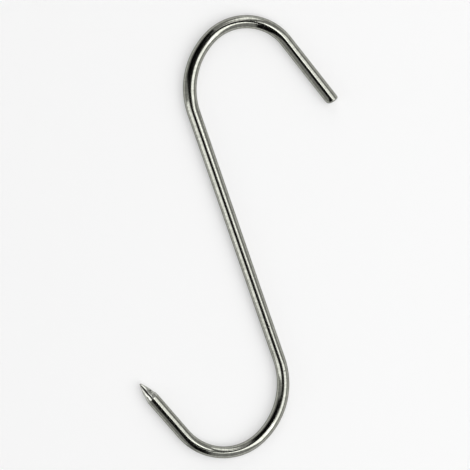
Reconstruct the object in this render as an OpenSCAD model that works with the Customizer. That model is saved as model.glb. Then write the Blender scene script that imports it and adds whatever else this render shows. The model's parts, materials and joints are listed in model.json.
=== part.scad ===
// Butcher's S hook, cold bent from one length of polished round stainless rod.
//
// The hook lies flat: the rod's underside rests on z = 0. The origin is where the
// axis of the rail that it hangs from crosses that plane, at the centre of the rail
// bend's crown. +Y is the line of pull, from the load bend up to the rail bend.
// Each end is a straight shank, a wide shoulder curve, a tighter crown curve and a
// straight arm. The rail arm ends blunt and the load arm ends in a ground point.

/* [Rod] */
// Diameter of the round rod
rod_d = 5; // [4:0.5:8]
// Length of the straight shank between the two bends
shank_len = 104; // [70:1:200]
// How much each stage of cold bending draws the rod's radius in
bend_thinning = 0.02; // [0.01:0.01:0.05]

/* [Rail end] */
// Centreline radius of the wide curve next to the shank
rail_shoulder_r = 30; // [24:1:60]
// Angle that this curve turns through
rail_shoulder_turn = 62; // [50:1:70]
// Centreline radius of the crown that sits on the rail
rail_crown_r = 20; // [14:0.5:40]
// Angle that the rail crown turns through
rail_crown_turn = 99; // [85:1:110]
// Length of the straight blunt arm, up to its end face
blunt_arm_len = 31; // [15:0.2:50]
// Rounding of the edge round the blunt end face
blunt_edge_r = 1.4; // [0.4:0.1:1.8]

/* [Load end] */
// Centreline radius of the wide curve next to the shank
load_shoulder_r = 30; // [24:1:60]
// Angle that this curve turns through
load_shoulder_turn = 66; // [50:1:70]
// Centreline radius of the crown that the load hangs in
load_crown_r = 21; // [14:0.5:40]
// Angle that the load crown turns through
load_crown_turn = 92; // [85:1:110]
// Length of the straight pointed arm, up to the tip
pointed_arm_len = 26.8; // [15:0.2:50]

/* [Point] */
// Length of the ground point
point_len = 8; // [5:0.5:12]
// Radius of the rounded tip
tip_r = 0.4; // [0.2:0.05:0.6]
// Radius of the arc that the point's side is ground to
point_side_r = 24; // [16:1:60]

/* [Hidden] */

// Facets for a full turn of the rod and the bends, and of the point's long arc
$fn = 72;
point_side_fn = 720;

rod_r = rod_d / 2;
shoulder_rod_r = rod_r - bend_thinning;
crown_rod_r = shoulder_rod_r - bend_thinning;
// How far a thinner length of rod runs on inside its thicker neighbour
laps_per_thinning = 5;
bend_lap = laps_per_thinning * bend_thinning;

// Crown centres, with the shank's middle at [0, 0] and the shank along +Y
rail_seat = crown_centre(rail_shoulder_r, rail_shoulder_turn, rail_crown_r);
load_seat = -crown_centre(load_shoulder_r, load_shoulder_turn, load_crown_r);
// The line of pull joins them, and leans this far from the shank
pull = rail_seat - load_seat;
pull_lean = atan2(pull.x, pull.y);

// The point's side is an arc from the rod's surface in to just outside the tip's ball
tip_at = point_len - tip_r;
tip_seat_r = tip_r + bend_thinning;
side_mid = [(rod_r + tip_seat_r) / 2, tip_at / 2];
side_run = [tip_seat_r - rod_r, tip_at];
side_chord = norm(side_run);
side_depth = sqrt(pow(point_side_r, 2) - pow(side_chord / 2, 2));
side_centre = side_mid + side_depth / side_chord * [-side_run.y, side_run.x];

function crown_centre(shoulder_r, shoulder_turn, crown_r) =
    [shoulder_r, shank_len / 2]
    - (shoulder_r - crown_r) * [cos(shoulder_turn), -sin(shoulder_turn)];

// Each length of rod below starts at [0, 0] and heads along +Y

module along_y() {
    rotate([-90, 0, 0]) children();
}

module straight(len) {
    along_y() cylinder(h = len, r = rod_r);
}

// A curve to the right, which laps into the rod at both of its ends
module curve(bend_r, turn, section_r) {
    lap_turn = bend_lap / bend_r * 180 / PI;
    translate([bend_r, 0])
        rotate_extrude(angle = turn + 2 * lap_turn, start = 180 - turn - lap_turn)
            translate([bend_r, 0]) circle(r = section_r);
}

// Moves what follows a curve to the curve's far end
module after_curve(bend_r, turn) {
    translate([bend_r, 0]) rotate(-turn) translate([-bend_r, 0]) children();
}

// Half the shank, the shoulder, the crown, and then the arm
module rod_end(shoulder_r, shoulder_turn, crown_r, crown_turn) {
    translate([0, shank_len / 2]) {
        curve(shoulder_r, shoulder_turn, shoulder_rod_r);
        after_curve(shoulder_r, shoulder_turn) {
            curve(crown_r, crown_turn, crown_rod_r);
            after_curve(crown_r, crown_turn) children();
        }
    }
}

// The arm's end is cut square and its edge is rounded over
module blunt_arm() {
    core_r = rod_r - blunt_edge_r;
    body_len = blunt_arm_len - blunt_edge_r;
    straight(body_len);
    translate([0, body_len]) along_y()
        rotate_extrude() {
            square([core_r, blunt_edge_r]);
            translate([core_r, 0]) intersection() {
                circle(r = blunt_edge_r);
                square(blunt_edge_r);
            }
        }
}

// The arm's end is ground to an ogive with a small round tip
module pointed_arm() {
    body_len = pointed_arm_len - point_len;
    straight(body_len);
    translate([0, body_len]) along_y() {
        rotate_extrude() intersection() {
            translate(side_centre) circle(r = point_side_r, $fn = point_side_fn);
            square([rod_r, tip_at]);
        }
        translate([0, 0, tip_at]) sphere(r = tip_r);
    }
}

module s_hook() {
    color([0.72, 0.72, 0.69])
    translate([0, 0, rod_r])
    rotate(pull_lean)
    translate(-rail_seat) {
        translate([0, -shank_len / 2]) straight(shank_len);
        rod_end(rail_shoulder_r, rail_shoulder_turn, rail_crown_r, rail_crown_turn) blunt_arm();
        rotate(180)
            rod_end(load_shoulder_r, load_shoulder_turn, load_crown_r, load_crown_turn) pointed_arm();
    }
}

s_hook();
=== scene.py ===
import json
import math

import bpy
import numpy as np
from mathutils import Matrix, Vector


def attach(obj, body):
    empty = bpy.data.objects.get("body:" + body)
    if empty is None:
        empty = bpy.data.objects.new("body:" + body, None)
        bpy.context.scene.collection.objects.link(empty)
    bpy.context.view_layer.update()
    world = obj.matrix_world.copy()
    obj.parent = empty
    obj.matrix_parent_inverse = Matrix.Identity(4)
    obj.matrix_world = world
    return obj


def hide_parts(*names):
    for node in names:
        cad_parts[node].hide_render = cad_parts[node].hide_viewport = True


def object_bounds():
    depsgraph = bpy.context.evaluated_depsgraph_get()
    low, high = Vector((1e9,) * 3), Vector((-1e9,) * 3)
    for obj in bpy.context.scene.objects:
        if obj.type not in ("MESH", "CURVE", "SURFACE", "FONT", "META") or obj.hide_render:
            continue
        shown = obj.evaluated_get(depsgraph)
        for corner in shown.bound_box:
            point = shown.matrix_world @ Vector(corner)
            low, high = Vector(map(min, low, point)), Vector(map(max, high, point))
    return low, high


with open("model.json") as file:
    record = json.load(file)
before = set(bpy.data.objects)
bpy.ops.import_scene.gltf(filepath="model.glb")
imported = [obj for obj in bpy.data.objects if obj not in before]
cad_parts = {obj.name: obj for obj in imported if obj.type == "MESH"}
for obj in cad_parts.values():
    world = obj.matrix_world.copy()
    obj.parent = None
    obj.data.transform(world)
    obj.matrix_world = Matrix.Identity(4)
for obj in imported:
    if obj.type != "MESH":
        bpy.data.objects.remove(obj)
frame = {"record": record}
cad_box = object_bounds()

# ---------------------------------------------------------------------------
# The rod. A length of 5 mm round stainless rod, sheared at one end and rounded
# over there, ground to a point at the other. It is modelled straight along X,
# as it is before bending: a ring is drawn out and reshaped for each station.
# ---------------------------------------------------------------------------
mounts = {mount["name"]: mount for mount in frame["record"]["mounts"]}
rod_r = mounts["blunt_arm"]["dims"]["r_mm"] / 1000
blunt_wall = mounts["blunt_arm"]["dims"]["length_mm"] / 1000
pointed_wall = mounts["pointed_arm"]["dims"]["length_mm"] / 1000

# The blunt end's edge takes up the first length of the arm, before its straight
# wall, and is rounded most on the side towards the shank
blunt_edge_r = 0.0014
inner_edge_r = 0.0020
outer_edge_r = 0.0009
top_edge_r = 0.0006
face_dome = 0.00012
point_len = 0.008
point_side_r = 0.036
tip_r = 0.0005
# On the side towards the shank the grinding stops at a small step: how far past
# the point's base, and how far out or in from the even arc the surface lies
step_places = (0.0, 0.0013, 0.0022, 0.0043)
step_heights = (0.0, 0.00015, -0.00009, 0.0)

shank_len = 0.104
rail_crown_r = 0.020
rail_crown_turn = math.radians(99)
rail_shoulder_r = 0.030
rail_shoulder_turn = math.radians(62)
load_shoulder_r = 0.030
load_shoulder_turn = math.radians(66)
load_crown_r = 0.021
load_crown_turn = math.radians(92)

# The rod's stretches in order from the blunt end: name, length, turn to the
# left, and how wide the bending left it in the hook's plane, at its start and
# its middle, as a share of its round diameter
stretches = [
    ("blunt_arm", blunt_edge_r + blunt_wall, 0.0, 1.02, 1.02),
    ("rail_crown", rail_crown_r * rail_crown_turn, rail_crown_turn, 1.02, 1.06),
    ("rail_shoulder", rail_shoulder_r * rail_shoulder_turn, rail_shoulder_turn, 1.07, 1.10),
    ("shank", shank_len, 0.0, 1.05, 1.00),
    ("load_shoulder", load_shoulder_r * load_shoulder_turn, -load_shoulder_turn, 0.98, 1.00),
    ("load_crown", load_crown_r * load_crown_turn, -load_crown_turn, 0.96, 0.945),
    ("pointed_arm", pointed_wall + point_len, 0.0, 1.03, 1.045),
]
rod_len = 0.0
width_places = []
widths = []
for _, length, _, start_width, middle_width in stretches:
    width_places += [rod_len, rod_len + length / 2]
    widths += [start_width, middle_width]
    rod_len += length
point_base = rod_len - point_len
rod_facets = 96
# Places closer together than this count as one
hair = 1e-6


def point_radius(past):
    """The ground point's radius: an arc from the rod's surface to a round tip."""
    run = point_len - tip_r
    rise = rod_r - tip_r
    if past > run:
        return math.sqrt(max(tip_r ** 2 - (past - run) ** 2, 0.0))
    chord = math.hypot(run, rise)
    depth = math.sqrt(point_side_r ** 2 - chord ** 2 / 4)
    centre_x = run / 2 - depth * rise / chord
    centre_r = (rod_r + tip_r) / 2 - depth * run / chord
    return centre_r + math.sqrt(point_side_r ** 2 - (past - centre_x) ** 2)


def edge_drop(depth, edge_r):
    """How far a rounded edge has fallen from the wall at a depth from the face."""
    return edge_r - math.sqrt(edge_r ** 2 - max(edge_r - depth, 0.0) ** 2)


def section(x):
    """The rod's section at x: its middle's Y, and its half sizes along Y and Z."""
    radius = rod_r if x <= point_base else point_radius(x - point_base)
    wide = radius * float(np.interp(x, width_places, widths))
    depth = max(x - face_dome, 0.0)
    step = float(np.interp(x - point_base, step_places, step_heights))
    inner = wide - edge_drop(depth, inner_edge_r)
    outer = wide - edge_drop(depth, outer_edge_r) + step
    return (inner - outer) / 2, (inner + outer) / 2, radius - edge_drop(depth, top_edge_r)


# Handling marks: distance from the blunt end, degrees round from the top
# towards the inner side of the rail bend, half length, half width and depth
marks = {
    "nick": (0.1884, 7, 0.00035, 0.00050, 0.00003),
    "tick": (0.2071, 21, 0.00018, 0.00060, 0.00002),
    "chip": (rod_len - 0.0047, -52, 0.00045, 0.00045, 0.00014),
}

# Stations close up at the edge, at the marks and on the point
edge_stations = 14
wall_start = 0.003
wall_spacing = 0.001
wall_stop = point_base - 0.0005
mark_spacing = 0.0001
mark_reach = 0.001
mark_clear = 0.0013
base_station = point_base - 0.0002
point_stations = 50
tip_angles = np.radians((15, 30, 45, 60, 75))
edge_angles = np.linspace(0, math.pi / 2, edge_stations + 1)[1:]
stations = [face_dome + inner_edge_r * (1 - math.cos(a)) for a in edge_angles]
stations += list(np.arange(wall_start, wall_stop, wall_spacing))
for place, *_ in marks.values():
    if place < point_base:
        # It reaches a little past the last station, so that one is kept too
        close = np.arange(place - mark_reach, place + mark_reach + mark_spacing / 10, mark_spacing)
        stations = [x for x in stations if abs(x - place) > mark_clear] + list(close)
stations += [base_station]
stations += list(point_base + (point_len - tip_r) * np.linspace(0, 1, point_stations))
stations += [rod_len - tip_r + tip_r * math.sin(a) for a in tip_angles]
stations.sort()

# The middle of the face, its dome, then ring after ring to the tip
face_shares = (0.2, 0.4, 0.6, 0.8, 1.0)
face_y, face_wide, face_high = section(0.0)
rings = [(face_dome * share ** 2, face_y, face_wide * share, face_high * share)
         for share in face_shares]
rings += [(x, *section(x)) for x in stations]

bpy.ops.object.select_all(action="DESELECT")
x, middle, wide, high = rings[0]
bpy.ops.mesh.primitive_circle_add(
    vertices=rod_facets, radius=high, fill_type="TRIFAN",
    location=(x, middle, 0), rotation=(0, math.radians(90), 0))
rod = bpy.context.object
rod.name = "bent_rod"
bpy.ops.object.transform_apply(location=True, rotation=True, scale=True)
bpy.ops.object.mode_set(mode="EDIT")
bpy.ops.mesh.select_mode(type="EDGE")
bpy.ops.mesh.select_all(action="SELECT")
bpy.ops.transform.resize(value=(1, wide / high, 1), center_override=(x, middle, 0))
bpy.ops.mesh.region_to_loop()
for next_x, next_middle, next_wide, next_high in rings[1:]:
    step = (next_x - x, next_middle - middle, 0)
    bpy.ops.mesh.extrude_edges_move(TRANSFORM_OT_translate={"value": step})
    bpy.ops.transform.resize(value=(1, next_wide / wide, next_high / high),
                             center_override=(next_x, next_middle, 0))
    x, middle, wide, high = next_x, next_middle, next_wide, next_high
bpy.ops.mesh.extrude_edges_move(TRANSFORM_OT_translate={"value": (rod_len - x, 0, 0)})
bpy.ops.mesh.merge(type="CENTER")
bpy.ops.mesh.select_all(action="SELECT")
bpy.ops.mesh.remove_doubles(threshold=hair)
bpy.ops.mesh.normals_make_consistent(inside=False)
bpy.ops.object.mode_set(mode="OBJECT")
bpy.ops.object.shade_smooth()

# Each point keeps its place on the straight rod, and each face gets a place on
# the rod's wrap: U runs along the surface from the blunt end, and V goes round it
places = np.zeros(3 * len(rod.data.vertices))
rod.data.vertices.foreach_get("co", places)
straight_rod = rod.data.attributes.new("straight_rod", "FLOAT_VECTOR", "POINT")
straight_rod.data.foreach_set("vector", places)
places = places.reshape(-1, 3)

ring_x = np.array([ring[0] for ring in rings] + [rod_len])
ring_r = np.array([ring[3] for ring in rings] + [0.0])
ring_steps = np.hypot(np.diff(ring_x), np.diff(ring_r))
travelled = ring_r[0] + np.concatenate([[0.0], np.cumsum(ring_steps)])
wrap = rod.data.uv_layers.new(name="rod_wrap")
for face in rod.data.polygons:
    corners = []
    for loop in face.loop_indices:
        x, y, z = places[rod.data.loops[loop].vertex_index]
        y -= face_y if x <= face_dome else section(x)[0]
        on_axis = math.hypot(y, z) < tip_r / 100
        turn = None if on_axis else math.atan2(z, y) / (2 * math.pi)
        far = 0.0 if on_axis and x < rod_r else float(np.interp(x, ring_x, travelled))
        corners.append((loop, far, turn))
    known = [turn for _, _, turn in corners if turn is not None]
    crosses_seam = max(known) - min(known) > 0.5
    known = [turn + 1 if crosses_seam and turn < 0 else turn for turn in known]
    for loop, far, turn in corners:
        if turn is None:
            turn = sum(known) / len(known)
        elif crosses_seam and turn < 0:
            turn += 1
        wrap.data[loop].uv = (far, turn)

# The marks are pressed in, deepest in the middle
for place, degrees, half_length, half_width, depth in marks.values():
    angle = math.radians(degrees)
    for vertex in rod.data.vertices:
        if abs(vertex.co.x - place) < half_length:
            along = (vertex.co.x - place) / half_length
            radius = math.hypot(vertex.co.y, vertex.co.z)
            round_by = math.remainder(math.atan2(vertex.co.y, vertex.co.z) - angle, 2 * math.pi)
            across = round_by * radius / half_width
            share = max(1 - along ** 2 - across ** 2, 0.0) ** 1.5
            vertex.co.y *= 1 - depth * share / radius
            vertex.co.z *= 1 - depth * share / radius

# ---------------------------------------------------------------------------
# The bends. The polished rod is bent cold round formers, in one plane: at each
# end a wide shoulder and a tighter crown. A curve carries the rod there. It
# starts at the blunt end, where the frame's blunt_arm mount says it lies.
# ---------------------------------------------------------------------------
blunt_axis = Vector(mounts["blunt_arm"]["axis"]).normalized()
blunt_wall_mid = Vector(mounts["blunt_arm"]["pos_m"])
here = blunt_wall_mid + blunt_axis * (blunt_wall / 2 + blunt_edge_r)
heading = math.atan2(-blunt_axis.y, -blunt_axis.x)
# One curve segment turns no further than this, which keeps it close to a true arc
longest_arc = math.radians(25)
knots = [[here, here, here]]
arrivals = {}
for name, length, turn, _, _ in stretches:
    arrivals[name] = (here, heading)
    parts = max(1, math.ceil(abs(turn) / longest_arc))
    for _ in range(parts):
        part_turn = turn / parts
        if turn:
            handle = 4 / 3 * math.tan(abs(part_turn) / 4) * (length / abs(turn))
            chord = 2 * (length / abs(turn)) * math.sin(abs(part_turn) / 2)
        else:
            handle = length / 3
            chord = length
        ahead = Vector((math.cos(heading), math.sin(heading), 0))
        along = heading + part_turn / 2
        knots[-1][2] = here + ahead * handle
        here = here + Vector((math.cos(along), math.sin(along), 0)) * chord
        heading += part_turn
        ahead = Vector((math.cos(heading), math.sin(heading), 0))
        knots.append([here - ahead * handle, here, here])

bpy.ops.object.select_all(action="DESELECT")
bpy.ops.curve.primitive_bezier_curve_add(location=(0, 0, 0))
former = bpy.context.object
former.data.resolution_u = 64
former.data.twist_mode = "Z_UP"
spline = former.data.splines[0]
spline.bezier_points.add(len(knots) - len(spline.bezier_points))
for knot, (before, place, after) in zip(spline.bezier_points, knots):
    knot.handle_left_type = "FREE"
    knot.handle_right_type = "FREE"
    knot.co = place
    knot.handle_left = before
    knot.handle_right = after

bpy.ops.object.select_all(action="DESELECT")
rod.select_set(True)
bpy.context.view_layer.objects.active = rod
bend = rod.modifiers.new("bend", "CURVE")
bend.object = former
bend.deform_axis = "POS_X"
bpy.ops.object.modifier_apply(modifier="bend")
bpy.data.objects.remove(former)

# The former left a small flat on the outside of the load crown, next to the arm
flat_from_arm = 0.006
flat_tilt = math.radians(18)
flat_depth = 0.0003
flat_reach = 0.007
flat_hair = 1e-9
arm_start, arm_heading = arrivals["pointed_arm"]
arm_side = Vector((-math.sin(arm_heading), math.cos(arm_heading), 0))
crown_middle = arm_start - arm_side * load_crown_r
flat_heading = arm_heading + flat_from_arm / load_crown_r
flat_side = Vector((-math.sin(flat_heading), math.cos(flat_heading), 0))
flat_normal = flat_side * math.cos(flat_tilt) + Vector((0, 0, math.sin(flat_tilt)))
flat_middle = crown_middle + flat_side * load_crown_r + flat_normal * (rod_r - flat_depth)


def above_flat(place):
    """How far a place on the rod stands out past the flat."""
    return (place - flat_middle).dot(flat_normal)


bpy.ops.object.mode_set(mode="EDIT")
bpy.ops.mesh.select_mode(type="FACE")
bpy.ops.mesh.select_all(action="DESELECT")
bpy.ops.object.mode_set(mode="OBJECT")
for face in rod.data.polygons:
    face.select = (face.center - flat_middle).length < flat_reach
bpy.ops.object.mode_set(mode="EDIT")
bpy.ops.mesh.bisect(plane_co=flat_middle, plane_no=flat_normal, threshold=1e-7)
bpy.ops.object.mode_set(mode="OBJECT")
for face in rod.data.polygons:
    face.select = above_flat(face.center) > flat_hair
for vertex in rod.data.vertices:
    height = above_flat(vertex.co)
    if height > 0:
        vertex.co -= flat_normal * height
bpy.ops.object.mode_set(mode="EDIT")
bpy.ops.mesh.region_to_loop()
bpy.ops.mesh.mark_sharp()
bpy.ops.object.mode_set(mode="OBJECT")

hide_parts("s_hook")
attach(rod, "root")

# ---------------------------------------------------------------------------
# The finish. Drawn stainless, buffed after bending: faint draw lines run along it,
# finer buffing lines run round it, and the gloss is a little uneven. The point is
# left as ground and is coloured brighter, a painted reflection; the sheared face is
# duller, and the marks are coloured near black, painted shade in the dents.
# ---------------------------------------------------------------------------
marks_group = bpy.data.node_groups.new("metal_marks", "ShaderNodeTree")
for socket in ("Draw Lines", "Round Lines", "Waves", "Scratches"):
    marks_group.interface.new_socket(socket, in_out="INPUT", socket_type="NodeSocketFloat")
for socket in ("Height", "Mottle"):
    marks_group.interface.new_socket(socket, in_out="OUTPUT", socket_type="NodeSocketFloat")
nodes = marks_group.nodes
links = marks_group.links
amounts = nodes.new("NodeGroupInput")
results = nodes.new("NodeGroupOutput")
rod_place = nodes.new("ShaderNodeAttribute")
rod_place.attribute_name = "straight_rod"


def rod_noise(along, across, detail):
    """Noise laid out on the straight rod, with this many patches per metre each way."""
    stretch = nodes.new("ShaderNodeVectorMath")
    stretch.operation = "MULTIPLY"
    stretch.inputs[1].default_value = (along, across, across)
    noise = nodes.new("ShaderNodeTexNoise")
    noise.inputs["Scale"].default_value = 1.0
    noise.inputs["Detail"].default_value = detail
    links.new(rod_place.outputs["Vector"], stretch.inputs[0])
    links.new(stretch.outputs["Vector"], noise.inputs["Vector"])
    return noise.outputs["Fac"]


def scalar(operation, first, second=None, third=None):
    """A math node; each value is a socket or a number."""
    node = nodes.new("ShaderNodeMath")
    node.operation = operation
    for socket, value in zip(node.inputs, (first, second, third)):
        if isinstance(value, (int, float)):
            socket.default_value = value
        elif value is not None:
            links.new(value, socket)
    return node.outputs[0]


draw_lines = rod_noise(along=40, across=2600, detail=3)
round_lines = rod_noise(along=2200, across=160, detail=4)
waves = rod_noise(along=220, across=260, detail=1)
mottle = rod_noise(along=1500, across=400, detail=4)
scratch_lines = rod_noise(along=70, across=900, detail=1)
# A scratch runs where its noise passes a level, and is narrower the finer it is
scratch_level = 0.6
scratch_fineness = 180
off_scratch = scalar("ABSOLUTE", scalar("SUBTRACT", scratch_lines, scratch_level))
scratch_width = scalar("MULTIPLY", scratch_fineness, off_scratch)
scratch = scalar("MAXIMUM", scalar("SUBTRACT", 1, scratch_width), 0)
height = scalar("MULTIPLY", draw_lines, amounts.outputs["Draw Lines"])
height = scalar("MULTIPLY_ADD", round_lines, amounts.outputs["Round Lines"], height)
height = scalar("MULTIPLY_ADD", waves, amounts.outputs["Waves"], height)
height = scalar("SUBTRACT", height, scalar("MULTIPLY", scratch, amounts.outputs["Scratches"]))
links.new(height, results.inputs["Height"])
links.new(mottle, results.inputs["Mottle"])


# The mottle runs from dull to bright between these levels of its noise
mottle_dull = 0.35
mottle_bright = 0.65
micrometre = 1e-6


def metal(name, dull, bright, roughness, draw, round_about, wave, scratched):
    """Give the rod a steel finish and return its slot. Colours and roughness go from
    dull to bright, and the heights of the lines are in micrometres."""
    finish = bpy.data.materials.new(name)
    finish.use_nodes = True
    parts = finish.node_tree.nodes
    wires = finish.node_tree.links
    shader = parts["Principled BSDF"]
    shader.inputs["Metallic"].default_value = 1.0
    shader.inputs["Specular Tint"].default_value = (0.3, 0.3, 0.3, 1)
    texture = parts.new("ShaderNodeGroup")
    texture.node_tree = marks_group
    texture.inputs["Draw Lines"].default_value = draw
    texture.inputs["Round Lines"].default_value = round_about
    texture.inputs["Waves"].default_value = wave
    texture.inputs["Scratches"].default_value = scratched
    colour = parts.new("ShaderNodeValToRGB")
    dull_stop, bright_stop = colour.color_ramp.elements
    dull_stop.position = mottle_dull
    bright_stop.position = mottle_bright
    dull_stop.color = (*dull, 1)
    bright_stop.color = (*bright, 1)
    gloss = parts.new("ShaderNodeMapRange")
    gloss.inputs["From Min"].default_value = mottle_dull
    gloss.inputs["From Max"].default_value = mottle_bright
    gloss.inputs["To Min"].default_value, gloss.inputs["To Max"].default_value = roughness
    bump = parts.new("ShaderNodeBump")
    bump.inputs["Strength"].default_value = 1.0
    bump.inputs["Distance"].default_value = micrometre
    wires.new(texture.outputs["Mottle"], colour.inputs["Fac"])
    wires.new(texture.outputs["Mottle"], gloss.inputs["Value"])
    wires.new(texture.outputs["Height"], bump.inputs["Height"])
    wires.new(colour.outputs["Color"], shader.inputs["Base Color"])
    wires.new(gloss.outputs["Result"], shader.inputs["Roughness"])
    wires.new(bump.outputs["Normal"], shader.inputs["Normal"])
    rod.data.materials.append(finish)
    return len(rod.data.materials) - 1


buffed = metal(
    "buffed_stainless", dull=(0.305, 0.310, 0.275), bright=(0.405, 0.410, 0.365),
    roughness=(0.15, 0.08), draw=5.0, round_about=6.0, wave=22.0, scratched=2.0)
# The point's colour is set brighter than the buffed rod's: a painted reflection, standing in for the
# stronger light the ground point reflects.
ground = metal(
    "ground_point_painted_reflection", dull=(0.48, 0.485, 0.44), bright=(0.58, 0.585, 0.54),
    roughness=(0.14, 0.09), draw=0.0, round_about=6.0, wave=10.0, scratched=0.0)
sheared = metal(
    "sheared_steel", dull=(0.24, 0.24, 0.22), bright=(0.34, 0.34, 0.31),
    roughness=(0.45, 0.32), draw=3.0, round_about=0.0, wave=60.0, scratched=0.0)
# The marks are coloured near black: painted shade, standing in for the dark that the small dents
# reflect.
mark_shade = metal(
    "marks_painted_shade", dull=(0.05, 0.05, 0.045), bright=(0.12, 0.12, 0.11),
    roughness=(0.50, 0.35), draw=0.0, round_about=4.0, wave=0.0, scratched=0.0)

# The flat cut new points into the rod, so the places are read again
places = np.zeros(3 * len(rod.data.vertices))
rod.data.attributes["straight_rod"].data.foreach_get("vector", places)
places = places.reshape(-1, 3)


def in_mark(point):
    """Whether a point of the straight rod lies in one of the handling marks."""
    x, y, z = point
    radius = math.hypot(y, z)
    for place, degrees, half_length, half_width, _ in marks.values():
        along = (x - place) / half_length
        round_by = math.remainder(math.atan2(y, z) - math.radians(degrees), 2 * math.pi)
        if along ** 2 + (round_by * radius / half_width) ** 2 < 1:
            return True
    return False


for face in rod.data.polygons:
    corners = places[list(face.vertices)]
    # A face in a mark takes the near-black painted shade.
    if in_mark(corners.mean(axis=0)):
        face.material_index = mark_shade
    elif corners[:, 0].max() < face_dome + hair:
        face.material_index = sheared
    elif corners[:, 0].min() > point_base - hair:
        face.material_index = ground
    else:
        face.material_index = buffed

# ---------------------------------------------------------------------------
# The camera. It looks straight down from three metres through a long lens, so
# that the mirrored studio stays steady along the shank.
# ---------------------------------------------------------------------------
box_low, box_high = Vector(cad_box[0]), Vector(cad_box[1])
off_middle = Vector((-0.0015, 0.0008, 0))
view_centre = (box_low + box_high) / 2 + off_middle
view_roll = math.radians(4)
view_width = 0.188
view_distance = 3.0
half_sensor = 18
camera_data = bpy.data.cameras.new("camera")
camera_data.lens = half_sensor * view_distance / (view_width / 2)
camera_data.clip_end = 100
camera = bpy.data.objects.new("camera", camera_data)
bpy.context.collection.objects.link(camera)
camera.location = view_centre + Vector((0, 0, view_distance))
camera.rotation_euler = (0, 0, view_roll)
bpy.context.scene.camera = camera

# ---------------------------------------------------------------------------
# The studio: a pale paper floor in a grey room, three softboxes on the right, one
# at the top with a small one nearer the camera, and a narrow one on the left.
# Three dark flags put the dark lines into the polish.
# ---------------------------------------------------------------------------
bpy.ops.object.select_all(action="DESELECT")
bpy.ops.mesh.primitive_plane_add(size=40, location=(view_centre.x, view_centre.y, 0))
floor = bpy.context.object
floor.name = "floor"
paper_white = 0.60
paper_lift = 0.39
paper = bpy.data.materials.new("white_paper")
paper.use_nodes = True
shader = paper.node_tree.nodes["Principled BSDF"]
shader.inputs["Base Color"].default_value = (paper_white,) * 3 + (1,)
shader.inputs["Roughness"].default_value = 0.9
shader.inputs["Specular IOR Level"].default_value = 0.0
shader.inputs["Emission Color"].default_value = (1, 1, 1, 1)
# The paper shows a little whiter than it is lit, in sight and in the polish alike
nodes = paper.node_tree.nodes
links = paper.node_tree.links
ray = nodes.new("ShaderNodeLightPath")
seen = nodes.new("ShaderNodeMath")
seen.operation = "ADD"
seen_through = nodes.new("ShaderNodeMath")
seen_through.operation = "ADD"
lift = nodes.new("ShaderNodeMath")
lift.operation = "MULTIPLY"
lift.inputs[1].default_value = paper_lift
links.new(ray.outputs["Is Camera Ray"], seen.inputs[0])
links.new(ray.outputs["Is Glossy Ray"], seen.inputs[1])
links.new(seen.outputs[0], seen_through.inputs[0])
links.new(ray.outputs["Is Transmission Ray"], seen_through.inputs[1])
links.new(seen_through.outputs[0], lift.inputs[0])
links.new(lift.outputs[0], shader.inputs["Emission Strength"])
floor.data.materials.append(paper)

room_level = 0.41
world = bpy.data.worlds.new("grey_room")
bpy.context.scene.world = world
world.use_nodes = True
world.node_tree.nodes["Background"].inputs["Color"].default_value = (room_level,) * 3 + (1,)

softbox_distance = 3.0


def softbox(name, from_top, turn, half_out, half_across, roll, radiance):
    """A softbox aimed at the hook. Its place is in degrees from overhead and round from
    the right of the view, and its half sizes are in degrees as seen from the hook."""
    aim = (Matrix.Rotation(math.radians(turn) + view_roll, 4, "Z")
           @ Matrix.Rotation(math.radians(from_top), 4, "Y"))
    lamp = bpy.data.lights.new(name, "AREA")
    lamp.shape = "RECTANGLE"
    lamp.size = 2 * softbox_distance * math.tan(math.radians(half_out))
    lamp.size_y = 2 * softbox_distance * math.tan(math.radians(half_across))
    lamp.energy = radiance * math.pi * lamp.size * lamp.size_y
    light = bpy.data.objects.new(name, lamp)
    bpy.context.collection.objects.link(light)
    light.matrix_world = (Matrix.Translation(view_centre) @ aim
                          @ Matrix.Translation((0, 0, softbox_distance))
                          @ Matrix.Rotation(math.radians(roll), 4, "Z"))
    light.visible_camera = False


felt = bpy.data.materials.new("dark_felt")
felt.use_nodes = True
shader = felt.node_tree.nodes["Principled BSDF"]
shader.inputs["Base Color"].default_value = (0.01, 0.01, 0.01, 1)
shader.inputs["Roughness"].default_value = 1.0
shader.inputs["Specular IOR Level"].default_value = 0.0


def flag(name, distance, *corners):
    """A dark card hung in the studio. Its corners are degrees right of and above the camera."""
    bpy.ops.object.select_all(action="DESELECT")
    bpy.ops.mesh.primitive_circle_add(vertices=len(corners), fill_type="NGON")
    card = bpy.context.object
    card.name = name
    for vertex, (right, up) in zip(card.data.vertices, corners):
        from_top = math.radians(math.hypot(right, up))
        turn = math.atan2(up, right) + view_roll
        way = Vector((math.sin(from_top) * math.cos(turn),
                      math.sin(from_top) * math.sin(turn), math.cos(from_top)))
        vertex.co = view_centre + way * distance
    card.visible_camera = False
    card.data.materials.append(felt)


softbox("right_softbox", from_top=45, turn=-10, half_out=20, half_across=20, roll=0, radiance=2.0)
softbox("upper_right_softbox", from_top=30, turn=40, half_out=25, half_across=10, roll=-15, radiance=1.5)
softbox("lower_right_softbox", from_top=35, turn=-50, half_out=30, half_across=8, roll=15, radiance=2.4)
softbox("top_softbox", from_top=60, turn=90, half_out=20, half_across=10, roll=-30, radiance=1.6)
softbox("middle_softbox", from_top=20, turn=80, half_out=10, half_across=12, roll=0, radiance=1.6)
softbox("left_softbox", from_top=55, turn=195, half_out=25, half_across=6, roll=0, radiance=1.6)
flag("upper_left_flag", 3.6, (-45, 60), (-60, 10), (5, -5))
flag("lower_flag", 3.4, (10, 40), (-30, -25), (-40, -70), (-20, -85))
flag("camera_flag", 2.6, (-20, -5), (0, 8), (20, 5), (20, -5), (-20, -8))

scene = bpy.context.scene
scene.view_settings.view_transform = "Standard"
